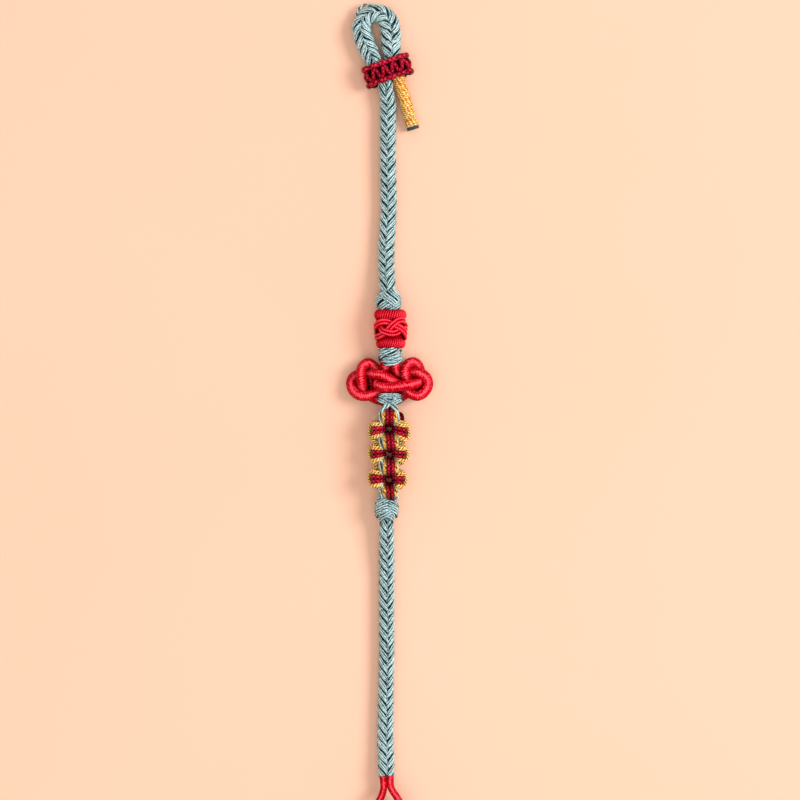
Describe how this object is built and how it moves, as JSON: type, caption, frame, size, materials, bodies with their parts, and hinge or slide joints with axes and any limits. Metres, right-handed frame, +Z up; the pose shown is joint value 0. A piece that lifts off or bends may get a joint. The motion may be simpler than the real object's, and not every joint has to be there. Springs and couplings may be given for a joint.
{
  "type": "knotted cord bracelet",
  "caption": "Adjustable knotted bracelet of round teal braid with a red barrel knot, a red cloud knot, a crimson and gold square column, a sliding loop closure and a button knot.",
  "frame": {"origin": "on the surface that the bracelet lies on, under the middle of its bounding box", "axes": "+Y along the bracelet from the button knot to the loop, +X to the right of the picture, +Z up out of the surface"},
  "size_m": [0.0215, 0.2097, 0.0106],
  "materials": {
    "teal_cord": "satin braided cord",
    "dark_teal_tip": "sealed cord end",
    "red_cord": "satin woven cord",
    "crimson_cord": "fine woven cord",
    "gold_thread": "metallic twisted thread"
  },
  "bodies": {
    "root": {"loop_braid": "teal_cord", "slider_band": "crimson_cord", "tail_wrap": "gold_thread", "tail_tip": "dark_teal_tip", "upper_knot": "teal_cord", "barrel_top_ring": "red_cord", "barrel_weave": "red_cord", "barrel_bottom_ring": "red_cord", "middle_knot": "teal_cord", "cloud_knot": "red_cord", "lower_knot": "teal_cord", "strand_front_left": "teal_cord", "strand_front_right": "teal_cord", "strand_back_left": "teal_cord", "strand_back_right": "teal_cord", "petal_left_1": "crimson_cord", "petal_left_2": "crimson_cord", "petal_left_3": "crimson_cord", "petal_right_1": "crimson_cord", "petal_right_2": "crimson_cord", "petal_right_3": "crimson_cord", "bar_front_1": "crimson_cord", "bar_front_2": "crimson_cord", "bar_front_3": "crimson_cord", "bar_front_4": "crimson_cord", "bar_back_1": "crimson_cord", "bar_back_2": "crimson_cord", "bar_back_3": "crimson_cord", "bar_back_4": "crimson_cord", "bar_left_1": "gold_thread", "bar_left_2": "gold_thread", "bar_left_3": "gold_thread", "bar_right_1": "gold_thread", "bar_right_2": "gold_thread", "bar_right_3": "gold_thread", "collar_knot": "teal_cord", "lower_braid": "teal_cord", "end_button": "red_cord"}
  },
  "joints": []
}
